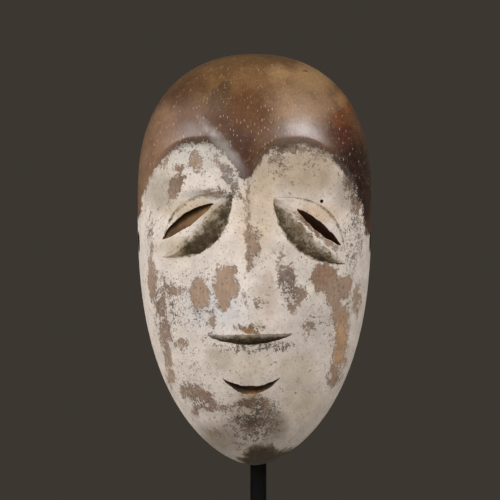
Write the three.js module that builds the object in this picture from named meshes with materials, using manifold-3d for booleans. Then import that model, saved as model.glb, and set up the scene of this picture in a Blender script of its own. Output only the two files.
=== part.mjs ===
// A small carved wooden mask on its display stand.
//
// The mask is one piece of wood: an egg-shaped shell, open at the back, with a domed forehead that
// hangs over a heart-shaped face, a long low nose, two slanting eyes and a small curved mouth. The
// eye and mouth slits go through the wall, and each temple has an oval hole for a cord.
// The stand is a round steel rod with a hooked cross bar, set in a flat steel foot. The mask hangs on
// the bar by the inside of its crown, and the back of its chin leans on the rod.
//
// Millimetres. +Z is up and the mask looks along -Y. The origin is the middle of the foot's underside.
import * as THREE from "three";
import { mergeVertices } from "three/addons/utils/BufferGeometryUtils.js";
import Module from "manifold-3d";

const wasm = await Module();
wasm.setup();

// Driving dimensions of the mask. Its own x runs to the viewer's right from the middle of the outline,
// its z runs up from the tip of the chin, and its depth runs forward from the flat back rim.
const maskHeight = 149.3;
const maskHalfWidth = 42.4;
const widestHeight = 96.4;
const crownCurve = { along: 2.55, across: 2.2 };
const jawCurve = { along: 2.68, across: 1.7 };
const rimBand = 5;
const faceDepth = 40;
const foreheadDepth = 44;
const faceRoundness = 2.75;
const foreheadRoundness = 2.35;
const foreheadFrom = 70;
const foreheadTo = 118;
const sideWall = 6.5;
const crownWall = 7.5;
const chinWall = 9;
const frontWall = 8;
const midlineX = -2.7;

// The two brow arches that bound the face. Each is half of a squared oval, wider on one side.
const archFoot = 83.3;
const browArches = [
  { x: -20.6, rise: 32.4, left: 21, right: 18.2, leftCurve: 2.1, rightCurve: 2.3 },
  { x: 15.9, rise: 32, left: 18.6, right: 23.8, leftCurve: 2.8, rightCurve: 1.85 },
];
const browStep = 3.4;
const browShoulder = 1.9;
const browInnerShoulder = 3.4;
const browInnerFrom = -20;
const browInnerTo = -12;
const browStepFoot = 0.9;
const browEdgeRounding = 0.16;
const browRoll = 0.35;
const browRollWidth = 6;
const browFadeFrom = 79;
const browFadeTo = 100;
const reliefFade = 12;

// The nose is a long low roof that widens and rises downwards to the cut under its tip.
const noseTop = 103;
const noseFoot = 48.5;
const noseRootRise = 0.6;
const noseTipRise = 4.4;
const noseRootHalfWidth = 5;
const noseTipHalfWidth = 20;
const noseRoofCurve = 1.5;
const noseRootFrom = 105;
const noseRootTo = 95;
const lipHalfWidth = 10.5;
const lipTop = 43;
const lipFade = 14;

// Leaf-shaped cuts in the front. Each runs from its left pointed end to its right one, and its two
// edges bow away from the straight line between them, upwards if positive. The lid is the share of an
// eye socket's width that is nearly flush, at its two ends. A slit starts straight, and the slant is how
// far it then climbs for each millimetre that it goes in, as far as the bend.
const leftSocket = { from: [-32.6, 75.6], to: [-8, 97.6], upper: 9.3, lower: -8.6, lid: [0.8, 0.42] };
const rightSocket = { from: [6.6, 96.2], to: [31.9, 73.2], upper: 9.8, lower: -7.6, lid: [0.42, 0.8] };
const leftSlit = { from: [-32.6, 81.9], to: [-14.6, 94.3], upper: 2.9, lower: -1.5, slant: 0.95 };
const rightSlit = { from: [15, 92.6], to: [30.3, 79.8], upper: 1.6, lower: -1.5, slant: -0.8 };
const noseCut = { from: [-16.2, 47.9], to: [13.3, 48.6], upper: 0.2, lower: -3.3 };
const mouthSlit = { from: [-11.4, 33.1], to: [8.7, 33.3], upper: -3.2, lower: -6, slant: 0.6 };
const leafShape = 0.8;
const leafTip = 0.05;
const leafEdgeDepth = 0.3;
const lidDepth = 1.3;
const creaseDepth = 4.2;
const noseCutDepth = 4;
const slitReach = 22;
const slitStraight = 2.2;
const slitBend = 8;
const cutLift = 4;

// The cord hole in each temple.
const cordHoleHeight = 81;
const cordHoleFromRim = 11;
const cordHoleTall = 7.2;
const cordHoleWide = 6;
const cordDrillLength = 28;

// Driving dimensions of the stand, and where the mask is on it.
const footWidth = 90;
const footLength = 75;
const footThickness = 12;
const footCorner = 1.5;
const footBevel = 0.8;
const rodRadius = 3;
const rodSocketDepth = 9;
const rodBend = 8;
const barRadius = 2.5;
const barLength = 34;
const barFromRim = 12;
const gap = 0.3;
const barGap = 0.5;
const chinAboveFloor = 57;
const rimY = 22;
const rodFromMiddle = 1.4;
const rodY = rimY + rodRadius + gap;

// How finely the shell is made.
const shellAround = 80;
const ringsInHollow = 9;
const ringsInFace = 16;
const ringsOutsideFace = 9;
const fanHeight = 88;
const leastBrowShare = 0.15;
const mostBrowShare = 0.9;
const browRingsFrom = 25;
const browRingsTo = 90;
const plainBrowShare = 0.65;
const browSearchSteps = 400;
const outlineDivisions = 2000;
const weldDistance = 1e-4;
const barTolerance = 0.01;
const socketSteps = [22, 9];
const slitSteps = [14, 1, 3];
const noseCutSteps = [16, 3];
const holeSides = 24;
const rodSides = 24;
const barSides = 20;
const bendSteps = 6;

const smoothstep = (low, high, value) => THREE.MathUtils.smoothstep(value, low, high);
const lerp = THREE.MathUtils.lerp;

// An egg outline and the dome over it, so that the outside and the hollow share one shape.
const outsideEgg = { half: maskHalfWidth, top: maskHeight, bottom: 0, deeper: 0 };
const hollowEgg = {
  half: maskHalfWidth - sideWall,
  top: maskHeight - crownWall,
  bottom: chinWall,
  deeper: rimBand - frontWall,
};

// How far z is from the widest height, 0 to 1, and which curve the outline has there.
function alongEgg(egg, z) {
  const reach = z > widestHeight ? egg.top - widestHeight : widestHeight - egg.bottom;
  const share = Math.min(1, Math.abs(z - widestHeight) / reach);
  return { share, curve: z > widestHeight ? crownCurve : jawCurve };
}

function halfWidthAt(egg, z) {
  const { share, curve } = alongEgg(egg, z);
  return egg.half * (1 - share ** curve.along) ** (1 / curve.across);
}

function domeDepth(egg, x, z) {
  const { share } = alongEgg(egg, z);
  const half = halfWidthAt(egg, z);
  const side = half > 0 ? Math.min(1, Math.abs(x) / half) : 0;
  const radius = Math.sqrt(side * side * (1 - share * share) + share * share);
  const forehead = smoothstep(foreheadFrom, foreheadTo, z);
  const depth = lerp(faceDepth, foreheadDepth, forehead) + egg.deeper;
  const roundness = lerp(faceRoundness, foreheadRoundness, forehead);
  return depth * Math.sqrt(Math.max(0, 1 - radius ** roundness));
}

// How far inside the heart-shaped face a point is, in millimetres, negative on the forehead.
function insideFace(x, z) {
  const depths = browArches.map((arch) => {
    const toLeft = x < arch.x;
    const width = toLeft ? arch.left : arch.right;
    const power = toLeft ? arch.leftCurve : arch.rightCurve;
    const across = (Math.abs(x - arch.x) / width) ** power;
    const up = (Math.max(0, z - archFoot) / arch.rise) ** power;
    const reach = (across * width + up * arch.rise) / Math.max(across + up, Number.EPSILON);
    return (1 - (across + up) ** (1 / power)) * reach;
  });
  return Math.max(...depths);
}

// How wide the bevel above the brow's edge is. It is wider beside the nose on the viewer's left.
function shoulderAt(x) {
  const inner = smoothstep(browInnerFrom, browInnerTo, x) * (1 - smoothstep(midlineX, 0, x));
  return lerp(browShoulder, browInnerShoulder, inner);
}

// The face is cut back under the brow arches with a bevelled edge, and the brow swells a little above it.
function browRelief(x, z) {
  const inside = insideFace(x, z);
  const fade = smoothstep(browFadeFrom, browFadeTo, z);
  const shoulder = shoulderAt(x);
  const run = (inside + shoulder) / (shoulder + browStepFoot);
  const past = Math.hypot(run, browEdgeRounding) - Math.hypot(run - 1, browEdgeRounding);
  const cut = browStep * (0.5 + past / 2);
  const roll = browRoll * Math.exp(-(((inside + browRollWidth) / browRollWidth) ** 2));
  return fade * (roll - cut);
}

// A sharp roof down to the nose's foot, and a round muzzle under it that fades into the chin.
function noseRelief(x, z) {
  const down = THREE.MathUtils.clamp((noseTop - z) / (noseTop - noseFoot), 0, 1);
  const root = 1 - smoothstep(noseRootTo, noseRootFrom, z);
  const rise = lerp(noseRootRise, noseTipRise, down) * root;
  const half = lerp(noseRootHalfWidth, noseTipHalfWidth, down);
  const roof = Math.max(0, 1 - Math.abs(x - midlineX) / half) ** noseRoofCurve;
  const muzzle = Math.exp(-(((x - midlineX) / lipHalfWidth) ** 2));
  const shape = lerp(muzzle, roof, smoothstep(lipTop, noseFoot, z));
  return rise * shape * smoothstep(lipFade, noseFoot, z);
}

// How far forward of the back rim the carved front is, before the leaf-shaped cuts.
function frontDepth(x, z) {
  const dome = domeDepth(outsideEgg, x, z);
  const fromEdge = Math.min(1, dome / reliefFade);
  return rimBand + dome + fromEdge * (browRelief(x, z) + noseRelief(x, z));
}

// The egg outline as a curve that starts at the crown and runs down the viewer's left side.
class EggOutline extends THREE.Curve {
  constructor(egg) {
    super();
    this.egg = egg;
    this.arcLengthDivisions = outlineDivisions;
  }

  getPoint(t, target = new THREE.Vector3()) {
    const turn = 2 * Math.PI * t;
    const above = Math.cos(turn) > 0;
    const curve = above ? crownCurve : jawCurve;
    const reach = above ? this.egg.top - widestHeight : this.egg.bottom - widestHeight;
    const z = widestHeight + reach * Math.abs(Math.cos(turn)) ** (2 / curve.along);
    const x = this.egg.half * Math.abs(Math.sin(turn)) ** (2 / curve.across);
    return target.set(turn < Math.PI ? -x : x, 0, z);
  }
}

// Points round the outline, the same number on each side of the carving's midline.
function ringAround(egg, count) {
  const outline = new EggOutline(egg);
  const offset = -midlineX / outline.getLength();
  const points = [];
  for (let i = 0; i < count; i++) {
    const left = i < count / 2;
    const share = left ? i / (count / 2) : i / (count / 2) - 1;
    const from = left ? offset : 0.5 - offset;
    const to = left ? 0.5 - offset : 1 + offset;
    points.push(outline.getPointAt(lerp(from, to, share) % 1));
  }
  return points;
}

// From the mask's own x, z and depth to the row frame.
function onStand(x, z, depth) {
  return new THREE.Vector3(x - rodFromMiddle, rimY - depth, z + chinAboveFloor);
}

function toSolid(geometry) {
  const bare = geometry.clone();
  bare.deleteAttribute("normal");
  bare.deleteAttribute("uv");
  const merged = mergeVertices(bare, weldDistance);
  const vertProperties = new Float32Array(merged.attributes.position.array);
  const triVerts = new Uint32Array(merged.index.array);
  return new wasm.Manifold(new wasm.Mesh({ numProp: 3, vertProperties, triVerts }));
}

function toGeometry(solid) {
  const { vertProperties, triVerts } = solid.getMesh();
  const geometry = new THREE.BufferGeometry();
  geometry.setAttribute("position", new THREE.BufferAttribute(vertProperties, 3));
  geometry.setIndex(new THREE.BufferAttribute(triVerts, 1));
  return geometry;
}

// Moves each vertex of a geometry to where place() says.
function reshape(geometry, place) {
  const position = geometry.attributes.position;
  const vertex = new THREE.Vector3();
  for (let i = 0; i < position.count; i++) {
    vertex.fromBufferAttribute(position, i);
    const { x, y, z } = place(vertex, i);
    position.setXYZ(i, x, y, z);
  }
  return geometry;
}

// Where each ring of the outside crosses one spoke, as shares of the way from the fan's centre to the
// edge. Three rings follow the brow's bevel, so that it stays crisp.
function ringShares(edge) {
  const spoke = Math.hypot(edge.x - midlineX, edge.z - fanHeight);
  const inFace = (share) => insideFace(lerp(midlineX, edge.x, share), lerp(fanHeight, edge.z, share)) > 0;
  let crossing = 0;
  while (crossing < 1 && inFace(crossing)) crossing += 1 / browSearchSteps;
  const onBrow = smoothstep(browRingsFrom, browRingsTo, edge.z);
  const brow = lerp(plainBrowShare, THREE.MathUtils.clamp(crossing, leastBrowShare, mostBrowShare), onBrow);
  const foot = brow - browStepFoot / spoke;
  const crest = brow + shoulderAt(lerp(midlineX, edge.x, brow)) / spoke;
  const shares = [];
  for (let j = 0; j < ringsInFace; j++) shares.push((j / ringsInFace) * foot);
  shares.push(foot, (foot + crest) / 2, crest);
  for (let j = 1; j <= ringsOutsideFace; j++) {
    const out = Math.sin(((j / ringsOutsideFace) * Math.PI) / 2);
    shares.push(lerp(crest, 1, lerp(j / ringsOutsideFace, out, 0.5)));
  }
  return shares;
}

// The shell starts as a round bowl on a lathe: first the rings of its hollow, then the back edge of its
// wall, then the rings of its outside. They are then drawn out to the egg and to the carved depths.
function makeShell() {
  const outerRings = ringsInFace + ringsOutsideFace + 3;
  const profile = [];
  for (let j = 0; j <= ringsInHollow; j++) {
    profile.push(new THREE.Vector2(Math.sin(((j / ringsInHollow) * Math.PI) / 2), -1));
  }
  profile.push(new THREE.Vector2(1, 0));
  for (let j = outerRings - 1; j >= 0; j--) {
    profile.push(new THREE.Vector2(j / outerRings, 1));
  }
  const outerEdge = ringAround(outsideEgg, shellAround);
  const hollowEdge = ringAround(hollowEgg, shellAround);
  const outerShares = outerEdge.map(ringShares);
  const bowl = new THREE.LatheGeometry(profile, shellAround);
  return reshape(bowl, (vertex, i) => {
    const spoke = Math.floor(i / profile.length) % shellAround;
    const ring = i % profile.length;
    if (ring <= ringsInHollow) {
      const share = profile[ring].x;
      const x = lerp(midlineX, hollowEdge[spoke].x, share);
      const z = lerp(fanHeight, hollowEdge[spoke].z, share);
      return onStand(x, z, domeDepth(hollowEgg, x, z));
    }
    const share = outerShares[spoke][profile.length - 1 - ring] ?? 1;
    const x = lerp(midlineX, outerEdge[spoke].x, share);
    const z = lerp(fanHeight, outerEdge[spoke].z, share);
    return onStand(x, z, ring === ringsInHollow + 1 ? 0 : frontDepth(x, z));
  });
}

// A point of a leaf. Along runs from 0 to 1 between its ends, and across from 0 at its upper edge to 1
// at its lower one. It may be moved up at right angles to the leaf by climb.
function leafPoint(leaf, along, across, climb = 0) {
  const [fromX, fromZ] = leaf.from;
  const [toX, toZ] = leaf.to;
  const length = Math.hypot(toX - fromX, toZ - fromZ);
  const bow = Math.sin(Math.PI * along) ** leafShape;
  const offset = lerp(leaf.upper, leaf.lower, across) * bow + lerp(leafTip, -leafTip, across) + climb;
  return {
    x: lerp(fromX, toX, along) - ((toZ - fromZ) / length) * offset,
    z: lerp(fromZ, toZ, along) + ((toX - fromX) / length) * offset,
    bow,
  };
}

// A cutting block over a leaf, from above the carved front down to depthBelow() under it. One in three
// layers goes straight in, then at the leaf's slant as far as the bend, and straight back from there.
function leafBlock(leaf, [stepsAlong, stepsAcross, layers = 1], depthBelow) {
  const block = new THREE.BoxGeometry(1, 1, 1, stepsAlong, stepsAcross, layers);
  const shaped = reshape(block, (vertex) => {
    const along = (1 + Math.sin(Math.PI * vertex.x)) / 2;
    const across = 0.5 - vertex.y;
    const { x, z, bow } = leafPoint(leaf, along, across);
    const levels = [-depthBelow(along, across, bow), -slitBend, -slitStraight, cutLift];
    const above = levels[Math.round((vertex.z + 0.5) * (levels.length - 1))];
    const climb = Math.max(0, Math.min(-above, slitBend) - slitStraight) * (leaf.slant ?? 0);
    const moved = leafPoint(leaf, along, across, climb);
    return onStand(moved.x, moved.z, frontDepth(x, z) + above);
  });
  return toSolid(shaped);
}

// An eye is nearly flush with the brow, rolls in as far as its lid goes, and then dives to a crease at
// the foot of the cheek's edge.
function socketBlock(socket) {
  return leafBlock(socket, socketSteps, (along, across, bow) => {
    const lid = lerp(socket.lid[0], socket.lid[1], along);
    const pastLid = Math.max(0, (across - lid) / (1 - lid));
    const crease = creaseDepth * Math.sin((pastLid * Math.PI) / 2);
    return leafEdgeDepth + bow * (lidDepth * across ** 2 + crease);
  });
}

// The notch under the nose slopes in from its upper edge to a steep wall above the lip.
function noseCutBlock() {
  return leafBlock(noseCut, noseCutSteps, (along, across, bow) => {
    return leafEdgeDepth + bow * noseCutDepth * across;
  });
}

// A slit goes right through the wall, at its own slant.
function slitBlock(slit) {
  return leafBlock(slit, slitSteps, () => slitReach);
}

function cordHoleDrill(side) {
  const drill = new THREE.CylinderGeometry(0.5, 0.5, cordDrillLength, holeSides);
  drill.rotateZ(Math.PI / 2);
  drill.scale(1, cordHoleWide, cordHoleTall);
  const { x, y, z } = onStand(side * maskHalfWidth, cordHoleHeight, cordHoleFromRim);
  drill.translate(x, y, z);
  return toSolid(drill);
}

function makeMask() {
  const cuts = [
    socketBlock(leftSocket),
    socketBlock(rightSocket),
    slitBlock(leftSlit),
    slitBlock(rightSlit),
    slitBlock(mouthSlit),
    noseCutBlock(),
    cordHoleDrill(-1),
    cordHoleDrill(1),
  ];
  const carved = cuts.reduce((solid, cut) => solid.subtract(cut), toSolid(makeShell()));
  return toGeometry(carved);
}

// How high a bar of the rod's stand can lie under the inside of the crown, at its two ends.
function barHeight() {
  const deepest = barFromRim + barRadius;
  const farthest = barLength / 2 + rodFromMiddle;
  let low = widestHeight;
  let high = hollowEgg.top;
  while (high - low > barTolerance) {
    const middle = (low + high) / 2;
    if (domeDepth(hollowEgg, farthest, middle) > deepest) low = middle;
    else high = middle;
  }
  return low - barRadius - barGap + chinAboveFloor;
}

function circle(radius, sides) {
  const points = [];
  for (let i = 0; i < sides; i++) {
    const turn = (2 * Math.PI * i) / sides;
    points.push(new THREE.Vector2(radius * Math.cos(turn), radius * Math.sin(turn)));
  }
  return new THREE.Shape(points);
}

// The rod's middle line: straight up from the foot, over in a quarter turn, and forward to the bar. Its
// parameter counts steps and not length, so that all but two of the steps are in the bend.
class RodLine extends THREE.Curve {
  constructor(foot, tip) {
    super();
    this.foot = foot;
    this.tip = tip;
  }

  getUtoTmapping(u) {
    return u;
  }

  getPoint(t, target = new THREE.Vector3()) {
    const step = t * (bendSteps + 2);
    const turn = (THREE.MathUtils.clamp((step - 1) / bendSteps, 0, 1) * Math.PI) / 2;
    const y = this.foot.y - rodBend * (1 - Math.cos(turn));
    const z = this.tip.z - rodBend * (1 - Math.sin(turn));
    if (step < 1) return target.lerpVectors(this.foot, { x: 0, y, z }, step);
    return target.lerpVectors({ x: 0, y, z }, this.tip, Math.max(0, step - bendSteps - 1));
  }
}

// The cross bar is brazed on the rod's end, so that they are one piece.
function makeRod() {
  const foot = new THREE.Vector3(0, rodY, footThickness - rodSocketDepth + gap);
  const tip = new THREE.Vector3(0, rimY - barFromRim, barHeight());
  const rod = new THREE.ExtrudeGeometry(circle(rodRadius, rodSides), {
    extrudePath: new RodLine(foot, tip),
    steps: bendSteps + 2,
    bevelEnabled: false,
  });
  const bar = new THREE.CylinderGeometry(barRadius, barRadius, barLength, barSides);
  bar.rotateZ(Math.PI / 2);
  bar.translate(tip.x, tip.y, tip.z);
  return toGeometry(toSolid(rod).add(toSolid(bar)));
}

function makeFoot() {
  const halfWidth = footWidth / 2;
  const halfLength = footLength / 2;
  const plan = new THREE.Shape();
  plan.moveTo(halfWidth, footCorner - halfLength);
  plan.absarc(halfWidth - footCorner, halfLength - footCorner, footCorner, 0, Math.PI / 2);
  plan.absarc(footCorner - halfWidth, halfLength - footCorner, footCorner, Math.PI / 2, Math.PI);
  plan.absarc(footCorner - halfWidth, footCorner - halfLength, footCorner, Math.PI, 1.5 * Math.PI);
  plan.absarc(halfWidth - footCorner, footCorner - halfLength, footCorner, 1.5 * Math.PI, 2 * Math.PI);
  const plate = new THREE.ExtrudeGeometry(plan, {
    depth: footThickness - 2 * footBevel,
    bevelThickness: footBevel,
    bevelSize: footBevel,
    bevelOffset: -footBevel,
    bevelSegments: 2,
    curveSegments: 4,
  });
  plate.translate(0, 0, footBevel);
  const socket = new THREE.CylinderGeometry(rodRadius + gap, rodRadius + gap, rodSocketDepth * 2, rodSides);
  socket.rotateX(Math.PI / 2);
  socket.translate(0, rodY, footThickness);
  return toGeometry(toSolid(plate).subtract(toSolid(socket)));
}

const carvedWood = new THREE.MeshStandardMaterial({ color: "#a98f74", roughness: 0.75, metalness: 0 });
const blackSteel = new THREE.MeshStandardMaterial({ color: "#141518", roughness: 0.45, metalness: 0 });

function makePiece(name, geometry, material) {
  geometry.computeVertexNormals();
  const mesh = new THREE.Mesh(geometry, material);
  mesh.name = name;
  return mesh;
}

const maskOnStand = new THREE.Group();
maskOnStand.add(
  makePiece("mask", makeMask(), carvedWood),
  makePiece("mount_rod", makeRod(), blackSteel),
  makePiece("foot", makeFoot(), blackSteel),
);

export default maskOnStand;
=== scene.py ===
# %% [markdown]
# # A small carved mask on a rod
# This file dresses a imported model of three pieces: a mask carved from one block of wood, a steel rod
# that it hangs on, and the rod's flat foot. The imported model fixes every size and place. Each piece is
# modelled again here with the detail that the eye looks for, and then takes the plain piece's place.

# %% The fixed frame
import math
import bpy
import numpy as np
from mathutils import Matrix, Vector, noise


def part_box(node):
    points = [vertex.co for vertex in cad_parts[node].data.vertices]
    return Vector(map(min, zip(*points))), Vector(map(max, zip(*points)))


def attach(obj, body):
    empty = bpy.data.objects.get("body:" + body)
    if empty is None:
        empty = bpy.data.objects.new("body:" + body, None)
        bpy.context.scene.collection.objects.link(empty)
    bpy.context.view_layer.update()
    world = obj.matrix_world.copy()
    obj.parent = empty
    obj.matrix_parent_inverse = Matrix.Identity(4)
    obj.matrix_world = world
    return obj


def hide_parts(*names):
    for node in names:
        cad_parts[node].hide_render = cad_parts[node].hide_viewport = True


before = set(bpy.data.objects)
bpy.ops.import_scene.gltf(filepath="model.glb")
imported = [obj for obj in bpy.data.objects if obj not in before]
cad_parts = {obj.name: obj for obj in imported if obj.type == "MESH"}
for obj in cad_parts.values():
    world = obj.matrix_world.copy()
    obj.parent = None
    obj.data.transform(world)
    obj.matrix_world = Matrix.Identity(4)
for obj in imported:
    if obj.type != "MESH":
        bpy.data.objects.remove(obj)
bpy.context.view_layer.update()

MM = 0.001
mask_low, mask_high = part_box("mask")
print("mask from", [round(v / MM, 1) for v in mask_low], "to", [round(v / MM, 1) for v in mask_high], "mm")

# %% [markdown]
# ## The camera
# The camera stands level with the mask's eyes, at about seven times its height, so the sides hardly narrow.
# It is made first, because everything else is judged through it.

# %% Camera
camera_distance = 1.1
view_width = 0.18248
camera_x = -0.00304
camera_height = 0.1351
camera_data = bpy.data.cameras.new("camera")
camera_data.sensor_width = 36
camera_data.lens = camera_data.sensor_width * camera_distance / view_width
camera = bpy.data.objects.new("camera", camera_data)
camera.location = (camera_x, mask_high.y - camera_distance, camera_height)
camera.rotation_euler = (math.radians(90), 0, 0)
bpy.context.scene.collection.objects.link(camera)
bpy.context.scene.camera = camera
print("lens", round(camera_data.lens, 1), "mm")

# %% [markdown]
# ## The mask's form in numbers
# A carver starts from a block and keeps cutting until the front is an even dome. Points could be pulled into
# that form by hand, but a formula also tells how deep the front is at any place, and every later cut asks
# for that. It is an egg outline with a dome over it. x runs to the right from the middle of the outline, z
# up from the tip of the chin, and depth forward from the flat back rim, all in millimetres. These values are
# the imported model's own, so the two shapes agree.

# %% Egg and dome
mask_height = 149.3
widest_height = 96.4
crown_curve = {"along": 2.55, "across": 2.2}
jaw_curve = {"along": 2.68, "across": 1.7}
rim_band = 5
face_depth = 40
forehead_depth = 44
face_roundness = 2.75
forehead_roundness = 2.35
forehead_from = 70
forehead_to = 118
side_wall = 6.5
crown_wall = 7.5
chin_wall = 9
front_wall = 8
midline_x = -2.7
fan_height = 88
tiny = 1e-6
middle_x = (mask_low.x + mask_high.x) / 2 / MM
rim_y = mask_high.y / MM
chin_z = mask_high.z / MM - mask_height
half_width = (mask_high.x - mask_low.x) / 2 / MM
outside_egg = {"half": half_width, "top": mask_height, "bottom": 0, "deeper": 0}
hollow_egg = {
    "half": half_width - side_wall,
    "top": mask_height - crown_wall,
    "bottom": chin_wall,
    "deeper": rim_band - front_wall,
}


def lerp(start, end, share):
    return start + (end - start) * share


def smoothstep(low, high, value):
    share = np.clip((value - low) / (high - low), 0, 1)
    return share * share * (3 - 2 * share)


def egg_curve(egg, above):
    """How far the outline reaches from its widest height, and its two powers, above it or below it."""
    reach = np.where(above, egg["top"] - widest_height, widest_height - egg["bottom"])
    along = np.where(above, crown_curve["along"], jaw_curve["along"])
    across = np.where(above, crown_curve["across"], jaw_curve["across"])
    return reach, along, across


def dome_depth(egg, x, z):
    """How far the egg's dome stands forward at x and z."""
    reach, along, across = egg_curve(egg, z > widest_height)
    share = np.clip(np.abs(z - widest_height) / reach, 0, 1)
    half = egg["half"] * (1 - share**along) ** (1 / across)
    side = np.clip(np.abs(x) / np.maximum(half, tiny), 0, 1)
    radius = np.sqrt(side**2 * (1 - share**2) + share**2)
    forehead = smoothstep(forehead_from, forehead_to, z)
    depth = lerp(face_depth, forehead_depth, forehead) + egg["deeper"]
    roundness = lerp(face_roundness, forehead_roundness, forehead)
    return depth * np.sqrt(np.clip(1 - radius**roundness, 0, 1))


print("dome at the nose", round(float(dome_depth(outside_egg, midline_x, 80.0)), 1), "mm")

# %% [markdown]
# ## The heart-shaped face and the nose
# Two brow arches bound the face. Below them the wood is cut back by a few millimetres, so the forehead
# hangs over the face like a cap, and just above the cut it swells into a soft roll. The inner half of the
# left brow was pared to a broad bevel instead. The nose is a long roof that starts between the arches and
# grows towards its foot.

# %% Brows and nose
arch_foot = 83.3
brow_arches = [
    {"x": -20.6, "rise": 32.4, "left": 21, "right": 18.2, "left_curve": 2.1, "right_curve": 2.3},
    {"x": 15.9, "rise": 32, "left": 18.6, "right": 23.8, "left_curve": 2.8, "right_curve": 1.85},
]
brow_step = 3.4
brow_step_foot = 0.9
brow_edge_rounding = 0.16
brow_shoulder = 1.9
brow_bevel = 3.4
bevel_grows = (-20, -12)
bevel_fades = (2, -3)
brow_roll = 0.35
brow_roll_width = 6
brow_fade_from = 79
brow_fade_to = 100
relief_fade = 12
nose_top = 103
nose_root_from = 105
nose_root_to = 95
nose_foot = 48.5
nose_root_rise = 0.6
nose_tip_rise = 4.4
nose_root_half = 5
nose_tip_half = 20
nose_roof_power = 1.5
lip_half = 10.5
lip_top = 43
lip_fade = 14


def inside_face(x, z):
    """Millimetres inside the heart-shaped face, negative on the forehead."""
    depths = []
    for arch in brow_arches:
        to_left = x < arch["x"]
        width = np.where(to_left, arch["left"], arch["right"])
        power = np.where(to_left, arch["left_curve"], arch["right_curve"])
        across = (np.abs(x - arch["x"]) / width) ** power
        up = (np.clip(z - arch_foot, 0, None) / arch["rise"]) ** power
        reach = (across * width + up * arch["rise"]) / np.maximum(across + up, tiny)
        depths.append((1 - (across + up) ** (1 / power)) * reach)
    return np.maximum(*depths)


def brow_relief(x, z):
    """The cut under the brows, with its shoulder or bevel, and the roll above it."""
    inside = inside_face(x, z)
    bevelled = smoothstep(*bevel_grows, x) * smoothstep(*bevel_fades, x)
    shoulder = lerp(brow_shoulder, brow_bevel, bevelled)
    run = (inside + shoulder) / (shoulder + brow_step_foot)
    cut = brow_step * (0.5 + (np.hypot(run, brow_edge_rounding) - np.hypot(run - 1, brow_edge_rounding)) / 2)
    roll = brow_roll * np.exp(-(((inside + brow_roll_width) / brow_roll_width) ** 2))
    return smoothstep(brow_fade_from, brow_fade_to, z) * (roll - cut)


def nose_relief(x, z):
    """A sharp roof down to the nose's foot, and a round muzzle under it that fades into the chin."""
    down = np.clip((nose_top - z) / (nose_top - nose_foot), 0, 1)
    root = 1 - smoothstep(nose_root_to, nose_root_from, z)
    rise = lerp(nose_root_rise, nose_tip_rise, down) * root
    half = lerp(nose_root_half, nose_tip_half, down)
    roof = np.clip(1 - np.abs(x - midline_x) / half, 0, 1) ** nose_roof_power
    muzzle = np.exp(-(((x - midline_x) / lip_half) ** 2))
    shape = lerp(muzzle, roof, smoothstep(lip_top, nose_foot, z))
    return rise * shape * smoothstep(lip_fade, nose_foot, z)


def front_depth(x, z):
    """How far forward of the back rim the carved front is, before the eyes and the mouth are cut."""
    dome = dome_depth(outside_egg, x, z)
    relief = brow_relief(x, z) + nose_relief(x, z)
    return rim_band + dome + np.clip(dome / relief_fade, 0, 1) * relief


print("nose ridge", round(float(front_depth(midline_x, 60.0)), 1), "mm forward of the rim")

# %% [markdown]
# ## Working on the mesh
# Blender keeps a mesh's points in metres. These helpers hand them over as millimetres and put them back,
# select edges in code instead of with the mouse, and apply a modifier once it has done its work. An operator
# acts on all that is selected, so everything is deselected before a new piece is added.

# %% Helpers for meshes


def deselect_all():
    for piece in bpy.context.selected_objects:
        piece.select_set(False)


def points_of(piece):
    """A piece's points, in millimetres."""
    points = np.empty(len(piece.data.vertices) * 3)
    piece.data.vertices.foreach_get("co", points)
    return points.reshape(-1, 3) / MM


def move_points(piece, points):
    piece.data.vertices.foreach_set("co", (np.asarray(points) * MM).ravel())
    piece.data.update()


def select_only(piece, kind, chosen=True):
    """Selects the chosen edges or faces of a piece, or all of them, and leaves it in edit mode."""
    groups = {"VERT": piece.data.vertices, "EDGE": piece.data.edges, "FACE": piece.data.polygons}
    for group in groups.values():
        group.foreach_set("select", np.zeros(len(group), bool))
    groups[kind].foreach_set("select", np.zeros(len(groups[kind]), bool) | chosen)
    bpy.context.tool_settings.mesh_select_mode = [name == kind for name in groups]
    bpy.ops.object.mode_set(mode="EDIT")


def edge_ends(piece):
    """Both ends of each of a piece's edges, in millimetres."""
    ends = np.empty(len(piece.data.edges) * 2, int)
    piece.data.edges.foreach_get("vertices", ends)
    return points_of(piece)[ends.reshape(-1, 2)]


def apply_modifier(piece, kind, **settings):
    modifier = piece.modifiers.new(kind.lower(), kind)
    for name, value in settings.items():
        setattr(modifier, name, value)
    bpy.context.view_layer.objects.active = piece
    bpy.ops.object.modifier_apply(modifier=modifier.name)


def outward(piece):
    """Turns every face of a closed piece outwards."""
    select_only(piece, "FACE")
    bpy.ops.mesh.normals_make_consistent(inside=False)
    bpy.ops.object.mode_set(mode="OBJECT")


def split_edges(piece, axis, cells):
    """Splits the edges that run along one axis into cells pieces. cells is a multiple of four."""
    for cuts in (cells // 4 - 1, 3):
        along = np.abs(np.diff(edge_ends(piece), axis=1))[:, 0]
        select_only(piece, "EDGE", along[:, axis] > along.sum(axis=1) / 2)
        bpy.ops.mesh.subdivide(number_cuts=cuts)
        bpy.ops.object.mode_set(mode="OBJECT")


def clouds(points, size, seed):
    """Soft random values, about -1 to 1, with blots of the given size in millimetres."""
    return np.array([noise.noise(place) for place in points / size + seed])


def layered(points, seed, *layers):
    """Clouds over clouds. Each layer has an amount and a size."""
    return sum(amount * clouds(points, size, seed + row) for row, (amount, size) in enumerate(layers))


def on_stand(x, z, depth):
    """From the mask's own x, z and depth to places in the frame, in millimetres."""
    return np.stack(np.broadcast_arrays(x + middle_x, rim_y - depth, z + chin_z), axis=-1)


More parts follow.
